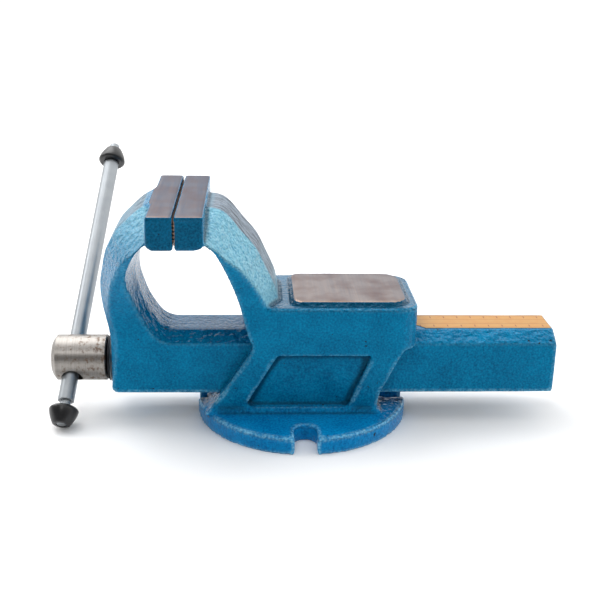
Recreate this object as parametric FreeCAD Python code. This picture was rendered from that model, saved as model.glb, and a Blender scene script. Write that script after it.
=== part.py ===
"""Bench vise with a fixed base, 150 mm jaws and a sliding front jaw.

Units are millimetres.  X runs along the screw with the handle at -X, Y runs along the jaws
and +Z is up.  The origin is the centre of the base flange underside.
"""
import FreeCAD, Part
import math
import os

# ---------------------------------------------------------------- driving dimensions
# fits and gaps
GAP = 0.3                 # air between pieces that move past each other
RUN_FIT = 0.05            # radial clearance of a turning fit
SLIDE_FIT = 0.4           # air all round the slide in its tunnel

# base flange
BASE_R = 92.0
BASE_T = 15.0
BASE_EDGE = 3.0           # rounding of the upper rim
SLOT_W = 18.5
SLOT_PCD = 150.0          # circle through the round ends of the slots
SLOT_COUNT = 4
BOLT_ROOM_HALF_W = 16.0   # space for a bench bolt's head over the end slots

# slide bar
BAR_HALF_W = 32.0
BAR_BOTTOM = 28.0
BAR_SHOULDER = 73.5       # where the side face turns into the sloped chamfer
BAR_TOP = 82.0
BAR_TOP_HALF_W = 17.0
BAR_END = 218.0
CHANNEL_HALF_W = 20.0
CHANNEL_TOP = 68.0

# screw
AXIS_Z = 48.5
THREAD_D = 24.0
JOURNAL_D = 26.0
HEAD_D = 40.0
HEAD_FRONT = -217.5
HEAD_BACK = -170.0
THREAD_END = 200.0
THREAD_PITCH = 6.0
THREAD_DEPTH = 3.0
SEAT_D = 44.0
SEAT_T = 2.6
WASHER_T = 1.2
WASHER_D = 41.0
BUSH_WALL = 4.0
COLLAR_D = 36.0
COLLAR_T = 10.0
PIN_D = 5.0

# handle
ROD_D = 14.0
CROSS_HOLE_D = 18.5
CROSS_HOLE_X = -200.0
ROD_LEAN = 5.0            # degrees the rod tips out of square in its loose hole
ROD_SLANT = 48.0          # degrees from upright about the screw
ROD_LOW = -42.0           # where the lower cap starts, measured along the rod
ROD_HIGH = 210.0          # where the upper cap starts
CAP_D = 25.0
CAP_H = 15.5
NECK_D = 9.0
CAP_PLAY = 6.0            # how far a cap can slide along its neck
CAP_TIP_D = 15.5          # width of a cap's outer end

# jaws
JAW_W = 150.0
JAW_TOP = 195.0
JAW_H = 27.0
PLATE_T = 9.0             # hardened plate let into the face of each head
PLATE_MARGIN = 3.0        # cast rim left round the plate
FIXED_FACE = -104.9       # front of the fixed jaw plate
JAW_GAP = 0.6             # between the plates with the vise shut
FIXED_HEAD_T = 22.9       # cast head of the fixed jaw, front to back
MOVING_HEAD_T = 21.5
TOOTH_PITCH = 3.0
TOOTH_DEPTH = 0.8
SCREW_D = 8.0
SCREW_HEAD_D = 16.0
SCREW_DEPTH = 14.0        # how far a jaw screw runs into the casting
SCREW_SPREAD = 76.0       # distance between the two screws of one jaw
SCREW_BELOW = 13.5        # screw axis below the jaw top

# front jaw
FRONT_FACE = -164.0
FRONT_WALL = 32.0         # wall the screw turns in
RIDGE_HALF_W = 25.0       # flat middle strip of both arms

# body
BODY_HALF_W = 46.0
BODY_FOOT_HALF_W = 42.0
BODY_TOP = 110.4
BODY_LEDGE = 73.0
BODY_END = 95.0
BODY_CORNER = 16.0
ANVIL_UP = 3.6
ANVIL_HALF_W = 39.0
ANVIL_FROM = -10.0
ANVIL_TO = 86.0
PANEL_DEPTH = 6.0

# nut under the slide
NUT_FROM = 0.0
NUT_LEN = 60.0
NUT_HALF_W = 17.0
NUT_TOP = 66.0
NUT_BOSS_D = 30.0
NUT_BOSS_BOTTOM = 12.0
BOLT_D = 10.0
BOLT_HEAD_ACROSS = 16.0
BOLT_HEAD_T = 6.4
BOLT_WASHER_T = 2.0
BOLT_POCKET_D = 24.0
BOLT_POCKET_H = 9.6
DOWEL_D = 6.0

# scale
SCALE_FROM = 90.0
SCALE_TRIM = 16.0         # length and width of the cut corner
SCALE_HALF_W = 15.5
SCALE_T = 0.5
SCALE_SUNK = 0.4
SCALE_MARGIN = 2.0

# ---------------------------------------------------------------- shared values
MOVING_FACE = FIXED_FACE - JAW_GAP
MOVING_BACK = MOVING_FACE - MOVING_HEAD_T
FIXED_BACK = FIXED_FACE + FIXED_HEAD_T
JAW_BOTTOM = JAW_TOP - JAW_H
FLOOR = BAR_BOTTOM - SLIDE_FIT
NUT_MID = NUT_FROM + NUT_LEN / 2
WIDE = JAW_W / 2

# the ridge line of each arm seen from the side, then how far it is set in at the jaw ends
FIXED_RIDGE = [(-82, 191), (-66, 187), (-54, 173), (-40, 156), (-34, 144), (-25, 124), (-22, 111)]
FIXED_INNER = [(-43.4, 73), (-49.3, 91.8), (-54.3, 112), (-60.8, 132), (-66.4, 146.6),
               (-72, 159), (-77.6, 168), (-82, 171)]
MOVING_RIDGE = [(-164, 74), (-165.5, 86), (-167.5, 96), (-169.5, 108), (-170.5, 120), (-170, 131),
                (-168, 141), (-165.5, 152), (-161, 162), (-154.5, 172.5), (-146, 181),
                (-137, 189), (-127, 194)]
MOVING_INNER = [(-107, 82), (-116, 83.5), (-122, 87), (-127.5, 94), (-133, 103), (-137.5, 115),
                (-141, 127), (-141, 140), (-138.5, 149), (-134, 161), (-127, 171)]
FIXED_FLARE = [(46, 109.5), (48, 117), (51, 128.5), (57, 143.3), (62, 155.7), (66, 163), (75, 170)]
MOVING_FLARE = [(BAR_HALF_W, 90), (34.2, 103), (39.3, 116), (46.5, 128), (55, 142), (64, 155), (75, 168)]


# ---------------------------------------------------------------- small helpers
def vec(x, y, z):
    return FreeCAD.Vector(x, y, z)


def line_chain(points):
    return [Part.makeLine(a, b) for a, b in zip(points, points[1:])]


def curve(points):
    spline = Part.BSplineCurve()
    spline.interpolate(points)
    return spline.toShape()


def box(x0, x1, y0, y1, z0, z1):
    return Part.makeBox(x1 - x0, y1 - y0, z1 - z0, vec(x0, y0, z0))


def rod(diameter, start, end):
    """Round bar between two points."""
    span = end.sub(start)
    return Part.makeCylinder(diameter / 2, span.Length, start, span)


def along_screw(diameter, x0, x1):
    return rod(diameter, vec(x0, 0, AXIS_Z), vec(x1, 0, AXIS_Z))


def turned(profile):
    """Solid turned about the screw from (x, radius) pairs."""
    points = [vec(x, 0, AXIS_Z + r) for x, r in profile]
    face = Part.Face(Part.makePolygon(points + [points[0]]))
    return face.revolve(vec(0, 0, AXIS_Z), vec(1, 0, 0), 360)


def side_prism(points, half_w):
    """Side-view polygon of (x, z) pairs made solid across the full width."""
    corners = [vec(x, -half_w, z) for x, z in points]
    face = Part.Face(Part.makePolygon(corners + [corners[0]]))
    return face.extrude(vec(0, 2 * half_w, 0))


def end_prism(points, x0, x1):
    """End-view polygon of (y, z) pairs run along the screw direction."""
    corners = [vec(x0, y, z) for y, z in points]
    face = Part.Face(Part.makePolygon(corners + [corners[0]]))
    return face.extrude(vec(x1 - x0, 0, 0))


def mirrored(half):
    """Close a right-hand (y, z) outline with its own mirror image."""
    return half + [(-y, z) for y, z in reversed(half)]


def moved_in(points, depths, side):
    """Shift each point of an open line sideways; side is +1 for the left of travel."""
    shifted = []
    for i, (x, z) in enumerate(points):
        before = points[max(i - 1, 0)]
        after = points[min(i + 1, len(points) - 1)]
        run, rise = after[0] - before[0], after[1] - before[1]
        length = math.hypot(run, rise)
        shifted.append((x - side * rise / length * depths[i], z + side * run / length * depths[i]))
    return shifted


def curved_loop(smooth, closing, y):
    """Wire of one smooth line and a chain of straight ones, in the plane at y."""
    bend = [vec(x, y, z) for x, z in smooth]
    rest = [bend[-1]] + [vec(x, y, z) for x, z in closing] + [bend[0]]
    return Part.Wire([curve(bend)] + line_chain(rest))


def roof(smooth, depths, side, closing, flat_half_w, reach):
    """Solid whose curved edge is full in the middle strip and slopes in towards both ends."""
    sunk = moved_in(smooth, depths, side)
    stations = [(-reach, sunk), (-flat_half_w, smooth), (flat_half_w, smooth), (reach, sunk)]
    wires = [curved_loop(points, closing, y) for y, points in stations]
    return Part.makeLoft(wires, True, True)


def flare(half, bottom, x0, x1):
    """Front-view outline that widens from the foot of an arm to the jaw."""
    right = [vec(x0, y, z) for y, z in half]
    left = [vec(x0, -y, z) for y, z in reversed(half)]
    top = JAW_TOP + 5
    low = [left[-1], vec(x0, left[-1].y, bottom), vec(x0, right[0].y, bottom), right[0]]
    high = [right[-1], vec(x0, WIDE, top), vec(x0, -WIDE, top), left[0]]
    edges = [curve(right)] + line_chain(high) + [curve(left)] + line_chain(low)
    return Part.Face(Part.Wire(edges)).extrude(vec(x1 - x0, 0, 0))


def fuse(shapes):
    return shapes[0].fuse(shapes[1:]).removeSplitter()


def round_upright_edges(solid, radius, wanted):
    """Round the upright edges picked out by wanted(x, y)."""
    picked = []
    for edge in solid.Edges:
        a, b = edge.Vertexes[0].Point, edge.Vertexes[-1].Point
        if abs(a.x - b.x) < 0.01 and abs(a.y - b.y) < 0.01 and wanted(a.x, a.y):
            picked.append(edge)
    return solid.makeFillet(radius, picked)


def edges_at_height(solid, z):
    return [e for e in solid.Edges if all(abs(v.Point.z - z) < 0.01 for v in e.Vertexes)]


# ---------------------------------------------------------------- body casting
def bar_outline(extra):
    """Slide section as (y, z) pairs, grown by extra on every side."""
    slope = math.atan2(BAR_TOP - BAR_SHOULDER, BAR_HALF_W - BAR_TOP_HALF_W)
    lift = extra * math.tan(math.pi / 4 - slope / 2)
    return mirrored([(BAR_HALF_W + extra, BAR_BOTTOM - extra),
                     (BAR_HALF_W + extra, BAR_SHOULDER + lift),
                     (BAR_TOP_HALF_W + extra * math.tan(slope / 2), BAR_TOP + extra)])


def base_flange():
    disc = Part.makeCylinder(BASE_R, BASE_T)
    centre = SLOT_PCD / 2
    for i in range(SLOT_COUNT):
        slot = Part.makeCylinder(SLOT_W / 2, BASE_T, vec(centre, 0, 0))
        slot = slot.fuse(box(centre, BASE_R + 5, -SLOT_W / 2, SLOT_W / 2, 0, BASE_T))
        slot.rotate(vec(0, 0, 0), vec(0, 0, 1), 360.0 * i / SLOT_COUNT)
        disc = disc.cut(slot)
    disc = disc.removeSplitter()
    return disc.makeFillet(BASE_EDGE, edges_at_height(disc, BASE_T))


def body_legs():
    """Splayed lower half of the body with a sunk panel in each side."""
    side = side_prism([(-84, BASE_T - 1), (-83, BASE_T), (-79, 20), (-68.7, 34.3), (-43.4, BODY_LEDGE),
                       (-43.4, BODY_LEDGE + 5), (84, BODY_LEDGE + 5), (84, BODY_LEDGE),
                       (65.5, 34), (62.5, 20), (66, BASE_T), (67, BASE_T - 1)], BODY_HALF_W + 1)
    half = [(BODY_FOOT_HALF_W + 4, BASE_T - 1), (BODY_FOOT_HALF_W + 3.2, BASE_T),
            (BODY_FOOT_HALF_W + 0.4, 19.5), (BODY_HALF_W, BODY_LEDGE), (BODY_HALF_W, BODY_LEDGE + 5)]
    legs = side.common(end_prism(mirrored(half), -100, 100))
    panel = side_prism([(-50, 20), (38, 20), (57, 68), (-22.5, 68)], BODY_HALF_W + 5)
    keep = [(BODY_FOOT_HALF_W - PANEL_DEPTH, 10), (BODY_HALF_W - PANEL_DEPTH, BODY_LEDGE + 6)]
    return legs.cut(panel.cut(end_prism(mirrored(keep), -100, 100)))


def body_box():
    upper = box(-44, BODY_END, -BODY_HALF_W, BODY_HALF_W, BODY_LEDGE, BODY_TOP)
    upper = round_upright_edges(upper, BODY_CORNER, lambda x, y: x > 0)
    rear_top = [e for e in edges_at_height(upper, BODY_TOP) if e.BoundBox.XMax > 0]
    return upper.makeFillet(2.5, rear_top)


def anvil_pad():
    pad = box(ANVIL_FROM, ANVIL_TO, -ANVIL_HALF_W, ANVIL_HALF_W, BODY_TOP - 2, BODY_TOP + ANVIL_UP)
    pad = round_upright_edges(pad, 8, lambda x, y: x < 0)
    pad = round_upright_edges(pad, 15, lambda x, y: x > 0 and abs(abs(y) - ANVIL_HALF_W) < 0.01
                              and x > ANVIL_TO - 1)
    return pad.makeChamfer(0.8, edges_at_height(pad, BODY_TOP + ANVIL_UP))


def fixed_arm():
    depths = [21, 23, 25, 25, 25, 25, 25]
    shell = roof(FIXED_RIDGE, depths, -1, [(-22, 80), (-150, 80), (-150, 191)], RIDGE_HALF_W, WIDE)
    inner = [vec(x, -WIDE, z) for x, z in FIXED_INNER]
    rest = [inner[-1]] + [vec(x, -WIDE, z) for x, z in
                          [(-92, 171), (-92, 205), (20, 205), (20, BODY_LEDGE)]] + [inner[0]]
    keep = Part.Face(Part.Wire([curve(inner)] + line_chain(rest))).extrude(vec(0, 2 * WIDE, 0))
    return shell.common(keep).common(flare(FIXED_FLARE, BODY_LEDGE, -150, 20))


def jaw_block(x0, x1, back_is_low_x):
    """Cast head behind a jaw plate, rounded along its lower back edge."""
    block = box(x0, x1, -WIDE, WIDE, JAW_BOTTOM, JAW_TOP)
    back = x0 if back_is_low_x else x1
    low = [e for e in edges_at_height(block, JAW_BOTTOM)
           if all(abs(v.Point.x - back) < 0.01 for v in e.Vertexes)]
    return block.makeFillet(6, low)


def screw_places():
    return [(y, JAW_TOP - SCREW_BELOW) for y in (-SCREW_SPREAD / 2, SCREW_SPREAD / 2)]


def body_casting():
    core = fuse([body_legs(), body_box(), anvil_pad(), fixed_arm(), base_flange(),
                 jaw_block(FIXED_FACE, FIXED_BACK, False)])
    inside = SLOT_PCD / 2 - BOLT_ROOM_HALF_W
    tools = [end_prism(bar_outline(SLIDE_FIT), -100, BODY_END + 5),
             box(inside, 100, -BOLT_ROOM_HALF_W, BOLT_ROOM_HALF_W, BASE_T, FLOOR + 1),
             box(-100, -inside, -BOLT_ROOM_HALF_W, BOLT_ROOM_HALF_W, BASE_T, FLOOR + 1),
             rod(NUT_BOSS_D, vec(NUT_MID, 0, NUT_BOSS_BOTTOM), vec(NUT_MID, 0, FLOOR + 1)),
             rod(BOLT_D + 1, vec(NUT_MID, 0, 0), vec(NUT_MID, 0, NUT_BOSS_BOTTOM + 1)),
             rod(BOLT_POCKET_D, vec(NUT_MID, 0, -1), vec(NUT_MID, 0, BOLT_POCKET_H)),
             dowel_shape(), plate_pocket(FIXED_FACE, 1)]
    for y, z in screw_places():
        start = FIXED_FACE + PLATE_T
        tools.append(rod(SCREW_D, vec(start - 1, y, z), vec(start + SCREW_DEPTH, y, z)))
    return core.cut(tools)


# ---------------------------------------------------------------- nut group
def dowel_shape():
    x = NUT_FROM + NUT_LEN - DOWEL_D
    return rod(DOWEL_D, vec(x, 0, FLOOR - 8), vec(x, 0, FLOOR + 6))


def spindle_nut():
    block = box(NUT_FROM, NUT_FROM + NUT_LEN, -NUT_HALF_W, NUT_HALF_W, FLOOR, NUT_TOP)
    block = block.makeChamfer(3, edges_at_height(block, NUT_TOP))
    boss = rod(NUT_BOSS_D, vec(NUT_MID, 0, NUT_BOSS_BOTTOM), vec(NUT_MID, 0, FLOOR + 1))
    bore = along_screw(THREAD_D + 2 * RUN_FIT, NUT_FROM - 1, NUT_FROM + NUT_LEN + 1)
    tapped = rod(BOLT_D, vec(NUT_MID, 0, NUT_BOSS_BOTTOM - 1), vec(NUT_MID, 0, bolt_tip()))
    return fuse([block, boss]).cut([bore, tapped, dowel_shape()])


def bolt_tip():
    return AXIS_Z - THREAD_D / 2 - RUN_FIT - 2.5


def nut_bolt():
    seat = BOLT_POCKET_H - BOLT_WASHER_T
    across = BOLT_HEAD_ACROSS / math.sqrt(3)
    points = [vec(NUT_MID + across * math.cos(math.pi * k / 3), across * math.sin(math.pi * k / 3),
                  seat - BOLT_HEAD_T) for k in range(7)]
    head = Part.Face(Part.makePolygon(points)).extrude(vec(0, 0, BOLT_HEAD_T))
    return fuse([head, rod(BOLT_D, vec(NUT_MID, 0, seat - 1), vec(NUT_MID, 0, bolt_tip() - 1))])


def nut_washer():
    seat = BOLT_POCKET_H - BOLT_WASHER_T
    ring = rod(BOLT_POCKET_D - 3, vec(NUT_MID, 0, seat), vec(NUT_MID, 0, BOLT_POCKET_H))
    return ring.cut(rod(BOLT_D + 0.6, vec(NUT_MID, 0, 0), vec(NUT_MID, 0, BOLT_POCKET_H + 1)))


# ---------------------------------------------------------------- jaw plates and screws
def plate_pocket(face_x, way):
    """Space in a cast head for its jaw plate, open at the jaw face."""
    x0, x1 = sorted((face_x - way, face_x + way * PLATE_T))
    half = WIDE - PLATE_MARGIN
    return box(x0, x1, -half, half, JAW_BOTTOM + PLATE_MARGIN, JAW_TOP - PLATE_MARGIN)


def jaw_plate(face_x, towards_casting):
    """Hardened plate with level saw teeth; towards_casting is +1 or -1 along X."""
    back = face_x + towards_casting * PLATE_T
    root = face_x + towards_casting * TOOTH_DEPTH
    low, high = JAW_BOTTOM + PLATE_MARGIN, JAW_TOP - PLATE_MARGIN
    teeth = round((high - low) / TOOTH_PITCH)
    pitch = (high - low) / teeth
    outline = [(back, low), (root, low)]
    for i in range(teeth):
        z = low + i * pitch
        outline += [(face_x, z + 0.35 * pitch), (face_x, z + 0.65 * pitch), (root, z + pitch)]
    plate = side_prism(outline + [(back, high)], WIDE - PLATE_MARGIN)
    for y, z in screw_places():
        plate = plate.cut(screw_hole(face_x, towards_casting, y, z))
    return plate


def cone_seat():
    """Depth from the plate face where a jaw screw head starts, and where its cone ends."""
    start = TOOTH_DEPTH + 0.6
    return start, start + (SCREW_HEAD_D - SCREW_D) / 2


def screw_hole(face_x, way, y, z):
    start, end = cone_seat()
    axis = vec(way, 0, 0)
    mouth = rod(SCREW_HEAD_D + 0.4, vec(face_x - way, y, z), vec(face_x + way * start, y, z))
    cone = Part.makeCone(SCREW_HEAD_D / 2 + 0.2, SCREW_D / 2 + 0.2, end - start,
                         vec(face_x + way * start, y, z), axis)
    through = rod(SCREW_D + 0.4, vec(face_x, y, z), vec(face_x + way * (PLATE_T + 1), y, z))
    return fuse([mouth, cone, through])


def jaw_screws(face_x, way):
    """The two countersunk socket screws of one jaw."""
    start, end = cone_seat()
    made = []
    for y, z in screw_places():
        cone = Part.makeCone(SCREW_HEAD_D / 2, SCREW_D / 2, end - start,
                             vec(face_x + way * start, y, z), vec(way, 0, 0))
        shank = rod(SCREW_D, vec(face_x + way * end, y, z),
                    vec(face_x + way * (PLATE_T + SCREW_DEPTH - 1), y, z))
        points = [vec(face_x + way * (start - 0.5), y + 3 * math.cos(math.pi * k / 3),
                      z + 3 * math.sin(math.pi * k / 3)) for k in range(7)]
        socket = Part.Face(Part.makePolygon(points)).extrude(vec(way * 3.5, 0, 0))
        made.append(fuse([cone, shank]).cut(socket))
    return Part.makeCompound(made)


# ---------------------------------------------------------------- front jaw and slide
def slide_bar():
    return end_prism(bar_outline(0), FRONT_FACE + FRONT_WALL - 10, BAR_END)


def moving_arm():
    """Front block and C-shaped arm, bevelled outside and inside."""
    depths = [50, 40, 33, 28, 25, 24, 23, 22, 22, 22, 22, 22, 23]
    shell = roof([(x, z) for x, z in MOVING_RIDGE], depths, -1,
                 [(-60, 194), (-60, BAR_BOTTOM), (-160, BAR_BOTTOM), (FRONT_FACE, BAR_BOTTOM + 4)],
                 RIDGE_HALF_W, WIDE)
    drop = (BAR_TOP - BAR_SHOULDER) / (BAR_HALF_W - BAR_TOP_HALF_W) * (WIDE - BAR_TOP_HALF_W)
    inner_depths = [drop * share for share in (1, 1, 0.9, 0.7, 0.5, 0.38, 0.3, 0.22, 0.15, 0.08, 0)]
    keep = roof(MOVING_INNER, inner_depths, 1,
                [(-116, 171), (-116, 205), (-190, 205), (-190, 20), (-107, 20)],
                BAR_TOP_HALF_W, WIDE)
    return shell.common(keep).common(flare(MOVING_FLARE, BAR_BOTTOM, -190, -60))


def slide_casting():
    core = fuse([moving_arm(), slide_bar(), jaw_block(MOVING_BACK, MOVING_FACE, True)])
    inner_wall = FRONT_FACE + FRONT_WALL
    tools = [box(inner_wall, BAR_END + 1, -CHANNEL_HALF_W, CHANNEL_HALF_W, BAR_BOTTOM - 1, CHANNEL_TOP),
             along_screw(JOURNAL_D + 2 * BUSH_WALL, FRONT_FACE - 1, inner_wall + 1),
             scale_shape(), plate_pocket(MOVING_FACE, -1)]
    for y, z in screw_places():
        start = MOVING_FACE - PLATE_T
        tools.append(rod(SCREW_D, vec(start + 1, y, z), vec(start - SCREW_DEPTH, y, z)))
    return core.cut(tools)


def scale_shape():
    """Thin strip sunk in the slide top, one corner cut off."""
    low = BAR_TOP - SCALE_SUNK
    end = BAR_END - SCALE_MARGIN
    points = [(SCALE_FROM, SCALE_TRIM - SCALE_HALF_W), (SCALE_FROM + SCALE_TRIM, -SCALE_HALF_W),
              (end, -SCALE_HALF_W), (end, SCALE_HALF_W), (SCALE_FROM, SCALE_HALF_W)]
    corners = [vec(x, y, low) for x, y in points]
    face = Part.Face(Part.makePolygon(corners + [corners[0]]))
    return face.extrude(vec(0, 0, SCALE_T))


def front_bush():
    ring = along_screw(JOURNAL_D + 2 * BUSH_WALL, FRONT_FACE, FRONT_FACE + FRONT_WALL)
    return ring.cut(along_screw(JOURNAL_D + 2 * RUN_FIT, FRONT_FACE - 1, FRONT_FACE + FRONT_WALL + 1))


def seat_collar():
    x = FRONT_FACE - SEAT_T
    r = SEAT_D / 2
    bore = JOURNAL_D / 2 + RUN_FIT
    return turned([(x, bore), (x, r - 1), (x + 1, r), (FRONT_FACE, r), (FRONT_FACE, bore)])


# ---------------------------------------------------------------- spindle group
def rod_direction():
    lean, slant = math.radians(ROD_LEAN), math.radians(ROD_SLANT)
    return vec(math.sin(lean), math.sin(slant) * math.cos(lean), math.cos(slant) * math.cos(lean))


def rod_point(distance):
    return vec(CROSS_HOLE_X, 0, AXIS_Z).add(rod_direction() * distance)


def cross_hole_direction():
    slant = math.radians(ROD_SLANT)
    return vec(0, math.sin(slant), math.cos(slant))


def collar_x():
    """Front of the retaining collar behind the cast wall."""
    return FRONT_FACE + FRONT_WALL + GAP


def pin_points():
    x = collar_x() + COLLAR_T / 2
    reach = COLLAR_D / 2 - 0.5
    return vec(x, 0, AXIS_Z - reach), vec(x, 0, AXIS_Z + reach)


def thread_outline(x0, x1):
    """Rings of the thread's shape at its pitch, as (x, radius) pairs from x0 to x1."""
    crest = THREAD_D / 2
    root = crest - THREAD_DEPTH
    points = []
    for i in range(int((x1 - x0) / THREAD_PITCH)):
        x = x0 + i * THREAD_PITCH
        shares = ((0.24, root), (0.37, crest), (0.77, crest), (0.9, root))
        points += [(x + share * THREAD_PITCH, radius) for share, radius in shares]
    return points


def spindle():
    head, journal, thread = HEAD_D / 2, JOURNAL_D / 2, THREAD_D / 2
    step = collar_x() + COLLAR_T
    rings = thread_outline(step + 2, THREAD_END - 3)
    body = turned([(HEAD_FRONT, 0), (HEAD_FRONT, head - 6), (HEAD_FRONT + 1.2, head - 3.6),
                   (HEAD_FRONT + 4, head), (HEAD_BACK - 1, head), (HEAD_BACK, head - 1),
                   (HEAD_BACK, journal), (step, journal), (step, thread - THREAD_DEPTH)] + rings
                  + [(THREAD_END, thread - THREAD_DEPTH), (THREAD_END, 0)])
    middle, way = vec(CROSS_HOLE_X, 0, AXIS_Z), cross_hole_direction()
    hole = rod(CROSS_HOLE_D, middle.sub(way * HEAD_D), middle.add(way * HEAD_D))
    pin = rod(PIN_D, *pin_points())
    return body.cut([hole, pin])


def disc_spring():
    inner, outer = JOURNAL_D / 2 + 0.2, HEAD_D / 2 - 0.6
    back = FRONT_FACE - SEAT_T - GAP - WASHER_T
    return turned([(HEAD_BACK, inner), (HEAD_BACK, inner + 1.5), (back - 0.6, outer), (back, outer),
                   (back, outer - 1.5), (HEAD_BACK + 0.7, inner)])


def thrust_washer():
    back = FRONT_FACE - SEAT_T - GAP
    bore = JOURNAL_D / 2 + 0.2
    return turned([(back - WASHER_T, bore), (back - WASHER_T, WASHER_D / 2), (back, WASHER_D / 2),
                   (back, bore)])


def retaining_collar():
    x = collar_x()
    ring = turned([(x, JOURNAL_D / 2), (x, COLLAR_D / 2 - 0.8), (x + 0.8, COLLAR_D / 2),
                   (x + COLLAR_T - 0.8, COLLAR_D / 2), (x + COLLAR_T, COLLAR_D / 2 - 0.8),
                   (x + COLLAR_T, JOURNAL_D / 2)])
    low, high = pin_points()
    return ring.cut(rod(PIN_D, low.sub(vec(0, 0, 2)), high.add(vec(0, 0, 2))))


def collar_pin():
    return rod(PIN_D, *pin_points())


# ---------------------------------------------------------------- handle group
def along_rod(profile, start, outward):
    """Turned piece on the rod from (distance, radius) pairs, counted outward from start."""
    points = [vec(r, 0, d) for d, r in profile]
    face = Part.Face(Part.makePolygon(points + [points[0]]))
    solid = face.revolve(vec(0, 0, 0), vec(0, 0, 1), 360)
    way = rod_direction() * outward
    turn = FreeCAD.Rotation(vec(0, 0, 1), way)
    solid.Placement = FreeCAD.Placement(rod_point(start), turn)
    return solid


def handle_rod():
    length = ROD_HIGH - ROD_LOW
    neck, r = NECK_D / 2, ROD_D / 2
    over = CAP_H + CAP_PLAY
    return along_rod([(-over, 0), (-over, neck - 1), (1 - over, neck), (0, neck), (0, r - 0.6),
                      (0.6, r), (length - 0.6, r), (length, r - 0.6), (length, neck),
                      (length + over - 1, neck), (length + over, neck - 1), (length + over, 0)],
                     ROD_LOW, 1)


def handle_cap(start, outward):
    """Bell-shaped cap, widest near the rod, loose on the turned-down neck."""
    r, neck, tip = CAP_D / 2, NECK_D / 2, CAP_TIP_D / 2
    brim = 0.18 * CAP_H
    shares = [k / 8 for k in range(9)]
    bell = [(brim + (CAP_H - 0.6 - brim) * t, tip + (r - tip) * (1 - t ** 1.5)) for t in shares]
    return along_rod([(0, neck), (0, r - 2.0), (0.35 * brim, r - 0.8), (0.7 * brim, r - 0.1)]
                     + bell + [(CAP_H, tip - 0.9), (CAP_H, neck)], start, outward)


# ---------------------------------------------------------------- output
def build_all():
    return {
        "body_casting": body_casting(),
        "fixed_jaw_plate": jaw_plate(FIXED_FACE, 1),
        "fixed_jaw_screws": jaw_screws(FIXED_FACE, 1),
        "spindle_nut": spindle_nut(),
        "nut_bolt": nut_bolt(),
        "nut_washer": nut_washer(),
        "nut_dowel": dowel_shape(),
        "slide_casting": slide_casting(),
        "moving_jaw_plate": jaw_plate(MOVING_FACE, -1),
        "moving_jaw_screws": jaw_screws(MOVING_FACE, -1),
        "scale_strip": scale_shape(),
        "front_bush": front_bush(),
        "seat_collar": seat_collar(),
        "spindle": spindle(),
        "disc_spring": disc_spring(),
        "thrust_washer": thrust_washer(),
        "retaining_collar": retaining_collar(),
        "collar_pin": collar_pin(),
        "handle_rod": handle_rod(),
        "upper_cap": handle_cap(ROD_HIGH, 1),
        "lower_cap": handle_cap(ROD_LOW - CAP_PLAY, -1),
    }


os.makedirs("parts", exist_ok=True)
for name, shape in build_all().items():
    shape.exportStep("parts/" + name + ".step")
    print(name, shape.isValid(), len(shape.Solids), round(shape.Volume), shape.BoundBox)
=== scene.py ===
# %% [markdown]
# # A bench vise: castings, ground steel, a turned screw head and a loose handle rod
#
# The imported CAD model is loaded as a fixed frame. Every piece stays where the CAD put it, so this
# lesson is about surfaces: how a sand casting gets its soft edges, how enamel differs from bare
# steel, and how a scale is printed. Lengths are metres, and MM turns millimetres into them.

# %% Load the frame
import math

import bmesh
import bpy
import numpy as np
from mathutils import Matrix, Vector


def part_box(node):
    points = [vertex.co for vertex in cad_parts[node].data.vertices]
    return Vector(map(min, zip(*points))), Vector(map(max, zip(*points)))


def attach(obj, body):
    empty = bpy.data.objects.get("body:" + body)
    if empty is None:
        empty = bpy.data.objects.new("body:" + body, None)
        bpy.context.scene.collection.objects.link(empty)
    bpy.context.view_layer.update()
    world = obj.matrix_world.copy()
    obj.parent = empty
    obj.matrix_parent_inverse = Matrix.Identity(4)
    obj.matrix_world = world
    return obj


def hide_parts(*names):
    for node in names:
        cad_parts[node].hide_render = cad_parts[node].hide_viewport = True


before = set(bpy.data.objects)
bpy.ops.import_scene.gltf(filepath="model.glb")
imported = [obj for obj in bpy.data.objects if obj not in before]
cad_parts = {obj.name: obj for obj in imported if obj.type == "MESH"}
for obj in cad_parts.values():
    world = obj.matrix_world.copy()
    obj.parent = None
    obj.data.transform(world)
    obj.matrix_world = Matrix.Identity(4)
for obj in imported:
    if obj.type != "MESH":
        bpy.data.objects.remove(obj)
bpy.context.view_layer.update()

MM = 0.001


# %% [markdown]
# ## Colours and nodes
#
# Colours are picked as sRGB hex values, because that is how paint charts give them. The renderer
# mixes light in linear values, so one function does the change. A second small function adds a
# shader node: anything that is a socket is linked, and anything else is set as a plain value.

# %% Colour and node helpers
def paint(code):
    """Linear RGBA of an sRGB hex code: each channel is undone with the sRGB curve."""
    value = np.array([int(code[i:i + 2], 16) for i in (1, 3, 5)]) / 255.0
    linear = np.where(value <= 0.04045, value / 12.92, ((value + 0.055) / 1.055) ** 2.4)
    return (*linear.tolist(), 1.0)


def add(tree, kind, inputs, **settings):
    """One shader node with its settings; inputs are linked if they are sockets, else set."""
    node = tree.nodes.new("ShaderNode" + kind)
    for name, value in settings.items():
        setattr(node, name, value)
    for key, value in inputs.items():
        if isinstance(value, bpy.types.NodeSocket):
            tree.links.new(value, node.inputs[key])
        else:
            node.inputs[key].default_value = value
    return node


def start_material(name, **shader_values):
    """Empty material with one Principled shader, and the object's own coordinates."""
    material = bpy.data.materials.new(name)
    material.use_nodes = True
    tree = material.node_tree
    tree.nodes.clear()
    values = {key.replace("_", " "): value for key, value in shader_values.items()}
    shader = add(tree, "BsdfPrincipled", values)
    add(tree, "OutputMaterial", {"Surface": shader.outputs[0]})
    place = add(tree, "TexCoord", {}).outputs["Object"]
    return material, tree, shader, place


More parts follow.
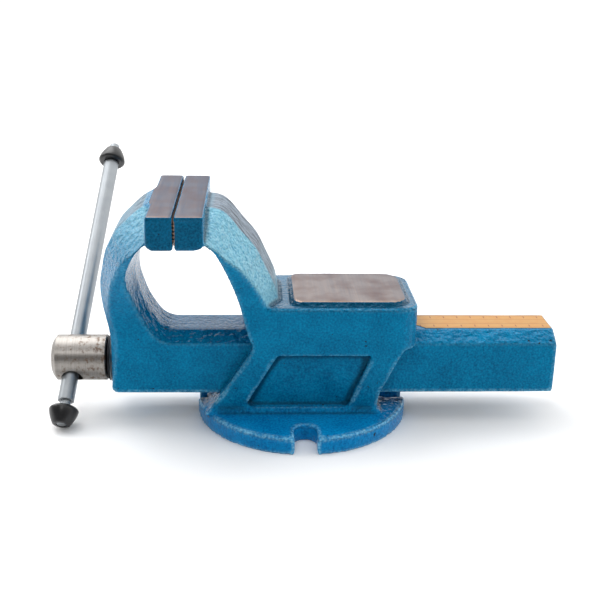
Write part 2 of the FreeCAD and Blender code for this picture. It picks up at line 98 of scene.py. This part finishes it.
def grain(size_mm):
    """Texture scale whose features are about size_mm across."""
    return 1.0 / (size_mm * MM)


print("blue enamel in linear light:", [round(c, 3) for c in paint("#0F6A9B")])


# %% [markdown]
# ## Cast iron skins
#
# The body and the front jaw are sand castings. Sand can't hold a sharp corner, so every edge is
# rounded by a few millimetres and flat faces are very slightly wavy. Bevelling a CAD mesh edge by
# edge fails where many surfaces meet. A copy of the mesh is rebuilt on an even grid of small
# squares instead, then relaxed, which rounds edges inside and out by the same amount.

# %% Sizes of the skins
BODY_GRID = 1.75 * MM
SLIDE_GRID = 1.85 * MM
RELAX_STEPS = 2
WAVE_DEPTH = 0.12 * MM
jaw_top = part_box("body_casting")[1][2]
anvil_top = jaw_top - 81.0 * MM
anvil_from = -12.0 * MM
print("jaw top", round(jaw_top / MM, 1), "mm, anvil top", round(anvil_top / MM, 1), "mm")


# %% [markdown]
# The measuring helpers come first. Waviness is a sum of sines, which is smooth and repeats on
# every run because its directions come from a fixed seed. Sharpness is measured on the mesh
# itself: where a point sits off the mean of its neighbours, the surface bends.

# %% Waviness, soft steps and sharpness
def waves(points, seed):
    """Sum of eight sine waves running in random directions, each 20 to 60 mm long."""
    rng = np.random.default_rng(seed)
    way = rng.normal(size=(8, 3))
    way /= np.linalg.norm(way, axis=1, keepdims=True)
    length = rng.uniform(20, 60, 8) * MM
    phase = rng.uniform(0, 2 * np.pi, 8)
    return np.sin(points @ (way / length[:, None]).T * 2 * np.pi + phase).sum(axis=1) / 4


def smooth_rise(value, low, high):
    """0 below low, 1 above high, and an S-shaped rise between them."""
    t = np.clip((value - low) / (high - low), 0, 1)
    return t * t * (3 - 2 * t)


def read_points(mesh, name):
    """Array of the mesh points' "co" or "normal", one row each."""
    values = np.empty(len(mesh.vertices) * 3)
    mesh.vertices.foreach_get(name, values)
    return values.reshape(-1, 3)


def bend(mesh, points, normals, grid):
    """How far each point lies from the mean of its neighbours, in grid steps along the normal.

    It is positive in a hollow corner and negative on an outer edge, and is spread four times.
    """
    ends = np.empty(len(mesh.edges) * 2, int)
    mesh.edges.foreach_get("vertices", ends)
    first, second = ends.reshape(-1, 2).T
    count = np.bincount(ends, minlength=len(points)).astype(float)

    def mean_of_neighbours(values):
        total = np.zeros_like(values)
        np.add.at(total, first, values[second])
        np.add.at(total, second, values[first])
        return total / (count[:, None] if values.ndim == 2 else count)

    value = ((mean_of_neighbours(points) - points) * normals).sum(axis=1) / grid
    for _ in range(4):
        value = 0.5 * value + 0.5 * mean_of_neighbours(value)
    return value


print("waves on one point:", waves(np.zeros((1, 3)), 3).round(3))


# %% [markdown]
# The rebuild itself uses two modifiers on a merged copy: Remesh lays the even grid, and Smooth
# relaxes it. Reading the evaluated object gives the finished mesh, so no modifier is left on it.

# %% Soft-edged copy of a casting
def even_copy(node, grid):
    """Mesh of a CAD node rebuilt on an even grid of squares and relaxed."""
    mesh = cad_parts[node].data.copy()
    work = bmesh.new()
    work.from_mesh(mesh)
    bmesh.ops.remove_doubles(work, verts=work.verts, dist=0.001 * MM)
    work.to_mesh(mesh)
    work.free()
    rough = bpy.data.objects.new(node + "_rough", mesh)
    bpy.context.scene.collection.objects.link(rough)
    rebuild = rough.modifiers.new("even_grid", "REMESH")
    rebuild.mode, rebuild.voxel_size = "VOXEL", grid
    relax = rough.modifiers.new("soft_edges", "SMOOTH")
    relax.factor, relax.iterations = 0.5, RELAX_STEPS
    graph = bpy.context.evaluated_depsgraph_get()
    skin = bpy.data.meshes.new_from_object(rough.evaluated_get(graph))
    bpy.data.objects.remove(rough)
    return skin


print("grid steps", BODY_GRID / MM, "and", SLIDE_GRID / MM, "mm")


# %% [markdown]
# Paint behaves by place: it is ground off flat tops. Light and shade are painted in by place too: a
# painted highlight on high slopes and outer edges, and painted shade in hollow corners. Each of
# these is a number from 0 to 1 at every point, kept as an attribute that the material reads.
# Painting masks by hand would do it too, but not the same way on each run.

# %% Mark where the paint differs
RIDGE_HALF_WIDTH = 25.5 * MM    # the flat middle strip of both arms
SHELF_LENGTH = 25 * MM          # shelf between the arm's foot and the anvil, darkened as painted shade
# pale marks high upward slopes for a painted highlight, where the gloss mirrors the bright room
PALE_HEIGHTS = {"body_casting": (110 * MM, 113 * MM), "slide_casting": (138 * MM, 204 * MM)}
PALE_SLOPES = {"body_casting": (0.06, 0.22), "slide_casting": (0.1, 0.55)}
# painted edge highlight against height: full on the base flange, faint on the arms, none on the jaw
# heads
EDGE_HIGHLIGHT = ([0, 16 * MM, 40 * MM, 150 * MM, 165 * MM], [1.0, 1.0, 0.4, 0.25, 0.0])


def ground_share(points, normals, top):
    """1 on flat faces within 0.4 mm of the machined height top, and 0 from 1 mm below it."""
    return (smooth_rise(points[:, 2], top - 1.0 * MM, top - 0.4 * MM)
            * smooth_rise(normals[:, 2], 0.74, 0.9))


def paint_marks(node, points, normals, turned_in, top, ground):
    """Shares from 0 to 1 at each point: ground, sloping, pale, ridge, painted_shade and
    edge_highlight.

    pale is a painted highlight on high slopes, painted_shade is painted shade in hollow corners, on
    the pad's side and on the shelf, and edge_highlight is a painted highlight on outer edges.
    Heights are compared with top, slopes are the upward part of the normal, and painted_shade and
    edge_highlight come mostly from how the surface bends.
    """
    height, up = points[:, 2], normals[:, 2]
    sloping = smooth_rise(up, 0.2, 0.45) * (1 - smooth_rise(up, 0.93, 0.99))
    near_top = smooth_rise(height, top - 4.2 * MM, top - 3.2 * MM)
    high = smooth_rise(height, *PALE_HEIGHTS[node])
    # pale: painted highlight on high upward slopes, standing in for the bright room they mirror
    pale = smooth_rise(up, *PALE_SLOPES[node]) * high * (1 - near_top)
    middle = 1 - smooth_rise(np.abs(points[:, 1]), RIDGE_HALF_WIDTH, RIDGE_HALF_WIDTH + MM)
    ridge = smooth_rise(up, 0.1, 0.5) * high * middle * (1 - near_top)
    behind = points[:, 0] > anvil_from - SHELF_LENGTH
    shelf = (0.7 * smooth_rise(height, anvil_top - 7 * MM, anvil_top - 5 * MM)
             * smooth_rise(up, 0.85, 0.95) * behind)
    pad_side = near_top * (points[:, 0] > anvil_from)
    # painted shade: hollow corners, the pad's side and the shelf are marked to be darkened
    painted_shade = np.maximum(smooth_rise(turned_in, 0.012, 0.06),
                        np.maximum(pad_side, shelf) * (1 - ground))
    # painted highlight along outer edges, fading with height
    edge_highlight = smooth_rise(-turned_in, 0.03, 0.075) * np.interp(height, *EDGE_HIGHLIGHT)
    return {"ground": ground, "sloping": sloping, "pale": pale, "ridge": ridge,
            "painted_shade": painted_shade, "edge_highlight": edge_highlight}


print("marks: ground, sloping, pale, ridge, crease, rim")


# %% [markdown]
# Now both castings get their skins. Each skin rides on its casting's body and replaces the CAD
# node, which stays in the motion model. Ground tops stay flat, so the waves fade out there.

# %% Make both skins
def cast_skin(node, body, grid, ground_height, seed):
    """Soft-edged copy of a casting; ground_height(points) gives the height of machined tops."""
    skin = even_copy(node, grid)
    points, normals = read_points(skin, "co"), read_points(skin, "normal")
    turned_in = bend(skin, points, normals, grid)
    top = ground_height(points)
    ground = ground_share(points, normals, top)
    points += normals * (waves(points, seed) * WAVE_DEPTH * (1 - ground))[:, None]
    marks = paint_marks(node, points, normals, turned_in, top, ground)
    skin.vertices.foreach_set("co", points.ravel())
    for name, values in marks.items():
        layer = skin.attributes.new(name, "FLOAT", "POINT")
        layer.data.foreach_set("value", values.astype(np.float32))
    skin.polygons.foreach_set("use_smooth", np.ones(len(skin.polygons), bool))
    skin.materials.clear()
    skin.update()
    piece = bpy.data.objects.new(node + "_skin", skin)
    bpy.context.scene.collection.objects.link(piece)
    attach(piece, body)
    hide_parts(node)
    print(piece.name, len(skin.polygons), "faces, bend from", np.percentile(turned_in, 1).round(3),
          "to", np.percentile(turned_in, 99).round(3))
    return piece


def body_ground(points):
    """Machined tops of the body: the anvil behind anvil_from, the jaw head in front of it."""
    return np.where(points[:, 0] > anvil_from, anvil_top, jaw_top)


def slide_ground(points):
    """The front jaw has one machined top, level with the fixed head."""
    return np.full(len(points), jaw_top)


body_skin = cast_skin("body_casting", "body", BODY_GRID, body_ground, 3)
slide_skin = cast_skin("slide_casting", "moving_jaw", SLIDE_GRID, slide_ground, 4)


# %% [markdown]
# ## Hammered enamel
#
# The castings are sprayed with a hammer-finish enamel. As it dries it draws up into dimples a few
# millimetres wide with a hard gloss, and the metal powder in it gives a mottled blue. The
# dimples are a cell pattern used as bump, larger on sloping faces where the paint runs thick.
# Machined tops have no paint, so the skin's "ground" attribute switches there to bare steel.
#
# Bare ground steel comes first, because the castings and the jaw plates share it. The grinding
# marks are noise stretched along Y, and the stain is a slow noise. The jaws are darker than the
# anvil, so the tone changes with height between the two.

# %% Mix the ground steel
def ground_steel_look(tree, place):
    """Colour and roughness sockets of ground steel: straight marks and a faint brown stain."""
    across = add(tree, "Mapping", {"Vector": place, "Scale": (grain(1.2), grain(60), grain(4))})
    marks = add(tree, "TexNoise", {"Vector": across.outputs[0], "Scale": 1.0, "Detail": 3.0})
    stain = add(tree, "TexNoise", {"Vector": place, "Scale": grain(28), "Detail": 4.0})
    stained = add(tree, "MapRange", {"Value": stain.outputs["Fac"], "From Min": 0.42,
                                     "From Max": 0.68})
    anvil = add(tree, "Mix", {0: marks.outputs["Fac"], 6: paint("#9A877A"), 7: paint("#B5A091")},
                data_type="RGBA")
    jaw = add(tree, "Mix", {0: marks.outputs["Fac"], 6: paint("#87746A"), 7: paint("#9A877B")},
              data_type="RGBA")
    axes = add(tree, "SeparateXYZ", {"Vector": place})
    high = add(tree, "MapRange", {"Value": axes.outputs["Z"], "From Min": anvil_top + 10 * MM,
                                  "From Max": anvil_top + 20 * MM})
    tone = add(tree, "Mix", {0: high.outputs[0], 6: anvil.outputs[2], 7: jaw.outputs[2]},
               data_type="RGBA")
    colour = add(tree, "Mix", {0: stained.outputs[0], 6: tone.outputs[2], 7: paint("#8F725F")},
                 data_type="RGBA")
    gloss = add(tree, "MapRange", {"Value": marks.outputs["Fac"], "To Min": 0.36, "To Max": 0.52})
    return colour.outputs[2], gloss.outputs[0]


print("ground steel changes tone", round((anvil_top + 15 * MM) / MM), "mm up")


# %% [markdown]
# The blue is two noises added, a slow one for clouds and a fine one for the metal powder. The
# flange is a cleaner blue than the body, and the ends of the jaw heads are darker. A third noise
# cut at a high level leaves a few small chips.

# %% Mix the blue
JAW_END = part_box("slide_casting")[1][1]
HEAD_DEPTH = 29 * MM    # height of the jaw heads whose ends are darker


def enamel_colour(tree, place):
    """Mottled blue, richer on the base, duller on the jaw ends, with small dark chips."""
    axes = add(tree, "SeparateXYZ", {"Vector": place})
    cloud = add(tree, "TexNoise", {"Vector": place, "Scale": grain(22), "Detail": 2.0})
    fleck = add(tree, "TexNoise", {"Vector": place, "Scale": grain(1.7), "Detail": 2.0})
    mottle = add(tree, "Math", {0: cloud.outputs["Fac"], 1: 0.45, 2: fleck.outputs["Fac"]},
                 operation="MULTIPLY_ADD")
    spread = add(tree, "MapRange", {"Value": mottle.outputs[0], "From Min": 0.42,
                                    "From Max": 1.02})
    side = add(tree, "Mix", {0: spread.outputs[0], 6: paint("#005078"), 7: paint("#0583B0")},
               data_type="RGBA")
    low = add(tree, "Mix", {0: spread.outputs[0], 6: paint("#005796"), 7: paint("#0A93D0")},
              data_type="RGBA")
    rise = add(tree, "MapRange", {"Value": axes.outputs["Z"], "From Min": 13 * MM,
                                  "From Max": 24 * MM})
    blue = add(tree, "Mix", {0: rise.outputs[0], 6: low.outputs[2], 7: side.outputs[2]},
               data_type="RGBA")
    outward = add(tree, "Math", {0: axes.outputs["Y"]}, operation="ABSOLUTE")
    end = add(tree, "MapRange", {"Value": outward.outputs[0], "From Min": JAW_END - 1.5 * MM,
                                 "From Max": JAW_END - 0.4 * MM})
    high = add(tree, "Math", {0: axes.outputs["Z"], 1: jaw_top - HEAD_DEPTH},
               operation="GREATER_THAN")
    dull = add(tree, "Math", {0: end.outputs[0], 1: high.outputs[0]}, operation="MULTIPLY")
    ends = add(tree, "Mix", {0: spread.outputs[0], 6: paint("#033048"), 7: paint("#0B6288")},
               data_type="RGBA")
    both = add(tree, "Mix", {0: dull.outputs[0], 6: blue.outputs[2], 7: ends.outputs[2]},
               data_type="RGBA")
    spots = add(tree, "TexNoise", {"Vector": place, "Scale": grain(6), "Detail": 2.0})
    chips = add(tree, "MapRange", {"Value": spots.outputs["Fac"], "From Min": 0.735,
                                   "From Max": 0.755})
    mixed = add(tree, "Mix", {0: chips.outputs[0], 6: both.outputs[2], 7: paint("#14222C")},
                data_type="RGBA")
    return mixed.outputs[2], chips.outputs[0]


print("jaw ends at", round(JAW_END / MM, 2), "mm either side")


# %% [markdown]
# Three touches use the attributes. High sloping tops get a pale, speckled painted highlight, with
# dark streaks down the arms' middle strip. Corners get painted shade and outer edges a painted
# highlight. The dimples are height only, so they catch light without changing the colour.

# %% Slopes, edges and dimples
def slope_sheen(tree, place, blue):
    """Colour of the arms' slopes with a pale, speckled painted highlight, and the share of the
    streaked strip.
    """
    pale = add(tree, "Attribute", {}, attribute_name="pale").outputs["Fac"]
    ridge = add(tree, "Attribute", {}, attribute_name="ridge").outputs["Fac"]
    speck = add(tree, "TexNoise", {"Vector": place, "Scale": grain(2.0), "Detail": 2.0})
    share = add(tree, "MapRange", {"Value": speck.outputs["Fac"], "From Min": 0.3,
                                   "From Max": 0.6, "To Min": 0.35, "To Max": 0.85})
    amount = add(tree, "Math", {0: pale, 1: share.outputs[0]}, operation="MULTIPLY")
    # painted highlight: high slopes are mixed towards a pale blue
    light = add(tree, "Mix", {0: amount.outputs[0], 6: blue, 7: paint("#8CC3D2")},
                data_type="RGBA")
    stretch = add(tree, "Mapping", {"Vector": place, "Scale": (grain(16), grain(3.2), grain(16))})
    runs = add(tree, "TexNoise", {"Vector": stretch.outputs[0], "Scale": 1.0, "Detail": 5.0,
                                  "Roughness": 0.7})
    dark = add(tree, "MapRange", {"Value": runs.outputs["Fac"], "From Min": 0.46,
                                  "From Max": 0.64})
    streaked = add(tree, "Mix", {0: dark.outputs[0], 6: paint("#828C97"), 7: paint("#2E3338")},
                   data_type="RGBA")
    both = add(tree, "Mix", {0: ridge, 6: light.outputs[2], 7: streaked.outputs[2]},
               data_type="RGBA")
    return both.outputs[2], ridge


def edge_tones(tree, place, colour):
    """Painted shade darkens the hollow corners, and a painted highlight lightens the outer edges.
    """
    painted_shade = add(tree, "Attribute", {}, attribute_name="painted_shade").outputs["Fac"]
    edge_highlight = add(tree, "Attribute", {}, attribute_name="edge_highlight").outputs["Fac"]
    broken = add(tree, "TexNoise", {"Vector": place, "Scale": grain(2.2), "Detail": 3.0})
    amount = add(tree, "MapRange", {"Value": broken.outputs["Fac"], "From Min": 0.4,
                                    "From Max": 0.7, "To Min": 0.1, "To Max": 0.7})
    # painted highlight along outer edges, broken by noise
    wear_and_sheen = add(tree, "Math", {0: edge_highlight, 1: amount.outputs[0]}, operation="MULTIPLY")
    # painted shade, darkening hollow corners, the pad's side and the shelf towards a deep blue
    shaded = add(tree, "Math", {0: painted_shade, 1: 0.75}, operation="MULTIPLY")
    pale = add(tree, "Mix", {0: wear_and_sheen.outputs[0], 6: colour, 7: paint("#9BDCF2")},
               data_type="RGBA")
    return add(tree, "Mix", {0: shaded.outputs[0], 6: pale.outputs[2], 7: paint("#022438")},
               data_type="RGBA").outputs[2]


def dimples(tree, place, sloping):
    """Height of 3 mm hammer dimples, with a coarser 5.5 mm set that shows on sloping faces."""
    fine = add(tree, "TexVoronoi", {"Vector": place, "Scale": grain(3.0), "Smoothness": 0.6},
               feature="SMOOTH_F1")
    coarse = add(tree, "TexNoise", {"Vector": place, "Scale": grain(5.5), "Detail": 2.5})
    lift = add(tree, "MapRange", {"Value": sloping, "To Min": 0.7, "To Max": 4.2})
    big = add(tree, "Math", {0: coarse.outputs["Fac"], 1: lift.outputs[0]}, operation="MULTIPLY")
    both = add(tree, "Math", {0: fine.outputs["Distance"], 1: 0.5, 2: big.outputs[0]},
               operation="MULTIPLY_ADD")
    return both.outputs[0]


print("dimples 3 mm and 5.5 mm wide")


# %% [markdown]
# One shader holds both paint and steel. Its Metallic follows the "ground" attribute, so the paint
# stops at the edge of the machined tops with no second material and no seam.

# %% Put the enamel together
def hammered_enamel():
    """Hammer-finish enamel on sand-cast iron, bare where it was ground."""
    material, tree, shader, place = start_material(
        "hammered_enamel", IOR=1.5, Specular_IOR_Level=0.36, Specular_Tint=paint("#58A4D2"))
    ground = add(tree, "Attribute", {}, attribute_name="ground").outputs["Fac"]
    sloping = add(tree, "Attribute", {}, attribute_name="sloping").outputs["Fac"]
    bare = add(tree, "MapRange", {"Value": ground, "From Min": 0.35, "From Max": 0.65})
    blue, chips = enamel_colour(tree, place)
    sheened, ridge = slope_sheen(tree, place, blue)
    blue = edge_tones(tree, place, sheened)
    steel, steel_gloss = ground_steel_look(tree, place)
    colour = add(tree, "Mix", {0: bare.outputs[0], 6: blue, 7: steel}, data_type="RGBA")
    matt = add(tree, "Math", {0: chips, 1: ridge}, operation="MAXIMUM")
    wear_and_sheen = add(tree, "MapRange", {"Value": matt.outputs[0], "To Min": 0.24, "To Max": 0.62})
    gloss = add(tree, "Mix", {0: bare.outputs[0], 2: wear_and_sheen.outputs[0], 3: steel_gloss})
    height = add(tree, "Mix", {0: bare.outputs[0], 2: dimples(tree, place, sloping), 3: 0.5})
    bump = add(tree, "Bump", {"Height": height.outputs[0], "Strength": 0.8, "Distance": 1.1 * MM})
    for socket, source in (("Base Color", colour.outputs[2]), ("Roughness", gloss.outputs[0]),
                           ("Metallic", bare.outputs[0]), ("Normal", bump.outputs[0])):
        tree.links.new(source, shader.inputs[socket])
    return material


enamel = hammered_enamel()
for skin in (body_skin, slide_skin):
    skin.data.materials.append(enamel)
print("enamel on", body_skin.name, "and", slide_skin.name)


# %% [markdown]
# ## Bare and plated steel
#
# Four steels are used. The jaw plates are ground and bare, and sit in pockets of the cast heads.
# The screw head is turned: a tool leaves rings round it, and it has begun to rust in specks that
# gather towards the casting. The handle rod, the nut bolt and its washer are zinc plated. The
# disc spring, the thrust washer and the jaw screws are blackened.

# %% Mix the steels
def jaw_plate_steel():
    """Ground tool steel, bare all over because the plates are screwed in after spraying."""
    material, tree, shader, place = start_material("ground_jaw_steel", Metallic=1.0)
    colour, gloss = ground_steel_look(tree, place)
    tree.links.new(colour, shader.inputs["Base Color"])
    tree.links.new(gloss, shader.inputs["Roughness"])
    return material


def turned_steel():
    """Lathe-turned carbon steel: fine rings along X, and brown rust specks 1 to 3 mm wide."""
    material, tree, shader, place = start_material("turned_steel", Metallic=1.0)
    rings = add(tree, "Mapping", {"Vector": place, "Scale": (grain(0.9), grain(40), grain(40))})
    tool = add(tree, "TexNoise", {"Vector": rings.outputs[0], "Scale": 1.0, "Detail": 2.0})
    specks = add(tree, "TexNoise", {"Vector": place, "Scale": grain(4.0), "Detail": 5.0,
                                    "Roughness": 0.65})
    axes = add(tree, "SeparateXYZ", {"Vector": place})
    head_front, head_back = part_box("spindle")[0][0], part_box("disc_spring")[0][0]
    wetter = add(tree, "MapRange", {"Value": axes.outputs["X"], "From Min": head_front,
                                    "From Max": head_back, "To Min": -0.05, "To Max": 0.05})
    patchy = add(tree, "Math", {0: specks.outputs["Fac"], 1: wetter.outputs[0]},
                 operation="ADD")
    rust = add(tree, "MapRange", {"Value": patchy.outputs[0], "From Min": 0.53,
                                  "From Max": 0.68, "To Max": 0.85})
    tone = add(tree, "Mix", {0: tool.outputs["Fac"], 6: paint("#7C7874"), 7: paint("#A29E99")},
               data_type="RGBA")
    colour = add(tree, "Mix", {0: rust.outputs[0], 6: tone.outputs[2], 7: paint("#6B5443")},
                 data_type="RGBA")
    gloss = add(tree, "MapRange", {"Value": rust.outputs[0], "To Min": 0.38, "To Max": 0.66})
    bump = add(tree, "Bump", {"Height": tool.outputs["Fac"], "Strength": 0.25,
                              "Distance": 0.15 * MM})
    for socket, source in (("Base Color", colour.outputs[2]), ("Roughness", gloss.outputs[0]),
                           ("Normal", bump.outputs[0])):
        tree.links.new(source, shader.inputs[socket])
    return material


def zinc_plate():
    """Zinc plate over drawn steel: a pale satin silver with faint cloudiness."""
    material, tree, shader, place = start_material("bright_zinc_plate", Metallic=1.0)
    cloud = add(tree, "TexNoise", {"Vector": place, "Scale": grain(12), "Detail": 4.0})
    colour = add(tree, "Mix", {0: cloud.outputs["Fac"], 6: paint("#878C91"), 7: paint("#A6AAAD")},
                 data_type="RGBA")
    gloss = add(tree, "MapRange", {"Value": cloud.outputs["Fac"], "To Min": 0.36, "To Max": 0.5})
    tree.links.new(colour.outputs[2], shader.inputs["Base Color"])
    tree.links.new(gloss.outputs[0], shader.inputs["Roughness"])
    return material


def plain(name, code, metallic, roughness):
    """A finish that is the same all over."""
    return start_material(name, Base_Color=paint(code), Metallic=metallic,
                          Roughness=roughness)[0]


jaw_steel = jaw_plate_steel()
turned = turned_steel()
zinc = zinc_plate()
blackened = plain("blackened_steel", "#26272A", 1.0, 0.42)
sprayed = plain("sprayed_steel_ring", "#05202F", 0.0, 0.3)
print("steels mixed")


# %% [markdown]
# ## Other finishes
#
# The handle caps are moulded black plastic with a soft gloss. The nut is machined grey iron, the
# bush is bronze. The scale is a printed yellow strip: two long rules with a row of
# ticks at even steps between them, worked out from the strip's own edges.

# %% Mix the plastics, the bush and the printed scale
TICK_STEP = 12.0 * MM
RULE_WIDTH = 0.45 * MM


def line_mask(tree, value, centre, width):
    """1 within half a width of a line at centre, and 0 elsewhere."""
    away = add(tree, "Math", {0: value, 1: centre}, operation="SUBTRACT")
    size = add(tree, "Math", {0: away.outputs[0]}, operation="ABSOLUTE")
    return add(tree, "Math", {0: size.outputs[0], 1: width / 2}, operation="LESS_THAN").outputs[0]


def printed_scale():
    """Printed strip: brown rules along X and ticks every TICK_STEP on a yellow ground."""
    material, tree, shader, place = start_material("printed_scale", Roughness=0.5)
    axes = add(tree, "SeparateXYZ", {"Vector": place})
    low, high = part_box("scale_strip")
    middle = (low[1] + high[1]) / 2
    third = (high[1] - low[1]) / 3
    marks = [line_mask(tree, axes.outputs["Y"], middle + k * third / 2, RULE_WIDTH)
             for k in (-2.6, -1, 1, 2.6)]
    along = add(tree, "Math", {0: axes.outputs["X"], 1: TICK_STEP}, operation="MODULO")
    tick = line_mask(tree, along.outputs[0], TICK_STEP / 2, RULE_WIDTH * 2)
    for row in (-1, 1):
        band = line_mask(tree, axes.outputs["Y"], middle + row * third, third * 0.4)
        marks.append(add(tree, "Math", {0: tick, 1: band}, operation="MULTIPLY").outputs[0])
    ink = marks[0]
    for mark in marks[1:]:
        ink = add(tree, "Math", {0: ink, 1: mark}, operation="MAXIMUM").outputs[0]
    wear = add(tree, "TexNoise", {"Vector": place, "Scale": grain(7), "Detail": 4.0})
    ground = add(tree, "Mix", {0: wear.outputs["Fac"], 6: paint("#B3752A"), 7: paint("#B98F4B")},
                 data_type="RGBA")
    colour = add(tree, "Mix", {0: ink, 6: ground.outputs[2], 7: paint("#7A3C14")},
                 data_type="RGBA")
    tree.links.new(colour.outputs[2], shader.inputs["Base Color"])
    return material


cap_plastic = plain("moulded_black_plastic", "#141416", 0.0, 0.33)
nut_iron = plain("machined_grey_iron", "#6E6C6A", 1.0, 0.5)
bronze = plain("bored_bronze", "#B08A55", 1.0, 0.34)
scale_print = printed_scale()
print("scale printed with ticks every", TICK_STEP / MM, "mm")


# %% [markdown]
# ## Finishes by node
#
# The remaining CAD nodes keep their own meshes and only get a material. A table from finish to
# node names says it in one place.

# %% Give each CAD node its finish
FINISHES = {
    jaw_steel: ["fixed_jaw_plate", "moving_jaw_plate"],
    turned: ["spindle", "retaining_collar", "collar_pin", "nut_dowel"],
    zinc: ["handle_rod", "nut_bolt", "nut_washer"],
    blackened: ["disc_spring", "thrust_washer", "fixed_jaw_screws", "moving_jaw_screws"],
    sprayed: ["seat_collar"],
    cap_plastic: ["upper_cap", "lower_cap"],
    nut_iron: ["spindle_nut"],
    bronze: ["front_bush"],
    scale_print: ["scale_strip"],
}
for finish, names in FINISHES.items():
    for name in names:
        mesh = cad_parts[name].data
        mesh.materials.clear()
        mesh.materials.append(finish)
print("finishes set on", sum(len(names) for names in FINISHES.values()), "nodes")


# %% [markdown]
# ## Studio
#
# The vise stands on a pale floor in a room that is bright behind and above it and dim in front.
# Gloss shows what it faces: sloping tops mirror the bright wall and turn nearly white, and
# upright sides mirror the dim front and keep their deep blue. A wide soft light hangs over the
# back, and two small ones pick out edges from the left and from the front.

# %% Floor and lights
def floor_sheet(half_size):
    """Flat square at the height of the base, far larger than the vise."""
    corners = half_size * np.array([(-1, -1, 0), (1, -1, 0), (1, 1, 0), (-1, 1, 0)], float)
    mesh = bpy.data.meshes.new("floor")
    mesh.from_pydata(corners.tolist(), [], [(0, 1, 2, 3)])
    return bpy.data.objects.new("floor", mesh)


def soft_light(name, place, aim, size, watts):
    """Square area light at place, turned towards aim."""
    lamp = bpy.data.lights.new(name, "AREA")
    lamp.size, lamp.energy = size, watts
    lamp_object = bpy.data.objects.new(name, lamp)
    lamp_object.location = place
    lamp_object.rotation_euler = (Vector(aim) - Vector(place)).to_track_quat("-Z", "Y").to_euler()
    bpy.context.scene.collection.objects.link(lamp_object)


floor = floor_sheet(25.0)
floor.data.materials.append(plain("pale_floor", "#F4F4F4", 0.0, 0.7))
bpy.context.scene.collection.objects.link(floor)
soft_light("over_light", (-0.6, 0.7, 1.4), (0, 0, 0.08), 1.2, 14)
soft_light("left_light", (-1.25, 0.3, 0.8), (0, 0, 0.06), 0.25, 2.5)
soft_light("edge_light", (-0.5, -1.5, 1.6), (0, 0, 0.06), 0.35, 5)
print("floor", floor.name, "and three lights")


# %% [markdown]
# The room's glow depends on direction: it rises towards the back, and more slowly upwards and to
# the right. Seen directly it is plain white, so the backdrop is the same from every side.

# %% Room
FRONT_GLOW, BACK_GLOW = 0.16, 1.55
world = bpy.data.worlds.new("studio_room")
world.use_nodes = True
room = world.node_tree
ways = add(room, "SeparateXYZ", {"Vector": add(room, "TexCoord", {}).outputs["Generated"]})
backward = add(room, "Math", {0: ways.outputs["Y"], 1: 0.75}, operation="MULTIPLY")
sideways = add(room, "Math", {0: ways.outputs["X"], 1: 0.3, 2: backward.outputs[0]},
               operation="MULTIPLY_ADD")
height = add(room, "Math", {0: ways.outputs["Z"], 1: 0.55, 2: sideways.outputs[0]},
             operation="MULTIPLY_ADD")
glow = add(room, "MapRange", {"Value": height.outputs[0], "From Min": -0.35, "From Max": 0.5,
                              "To Min": FRONT_GLOW, "To Max": BACK_GLOW},
           interpolation_type="SMOOTHSTEP")
room.nodes["Background"].inputs["Color"].default_value = (1.0, 1.0, 1.0, 1.0)
seen = add(room, "LightPath", {}).outputs["Is Camera Ray"]
strength = add(room, "Math", {0: glow.outputs[0], 1: seen}, operation="MAXIMUM")
room.links.new(strength.outputs[0], room.nodes["Background"].inputs["Strength"])
bpy.context.scene.world = world
bpy.context.scene.view_settings.view_transform = "Standard"
print("studio ready")


# %% [markdown]
# ## Camera
#
# The camera stands in front of the vise, a little to the handle side and above it. Its direction
# is built from three angles: yaw towards +X, pitch down, and a slight roll.

# %% Place the camera
CAMERA_PLACE = Vector((-44.4, -814.5, 391.8)) * MM
YAW, PITCH, ROLL = math.radians(2.93), math.radians(19.57), math.radians(-1.07)
LENS_MM = 59.8

forward = Vector((math.sin(YAW) * math.cos(PITCH), math.cos(YAW) * math.cos(PITCH),
                  -math.sin(PITCH)))
level = Vector((math.cos(YAW), -math.sin(YAW), 0.0))
down = forward.cross(level)
right = level * math.cos(ROLL) + down * math.sin(ROLL)
below = down * math.cos(ROLL) - level * math.sin(ROLL)
turn = Matrix((right, -below, -forward)).transposed()
camera_data = bpy.data.cameras.new("camera")
camera_data.lens, camera_data.sensor_width = LENS_MM, 36.0
camera = bpy.data.objects.new("camera", camera_data)
camera.matrix_world = Matrix.Translation(CAMERA_PLACE) @ turn.to_4x4()
bpy.context.scene.collection.objects.link(camera)
bpy.context.scene.camera = camera
print("camera at", [round(v, 3) for v in CAMERA_PLACE])
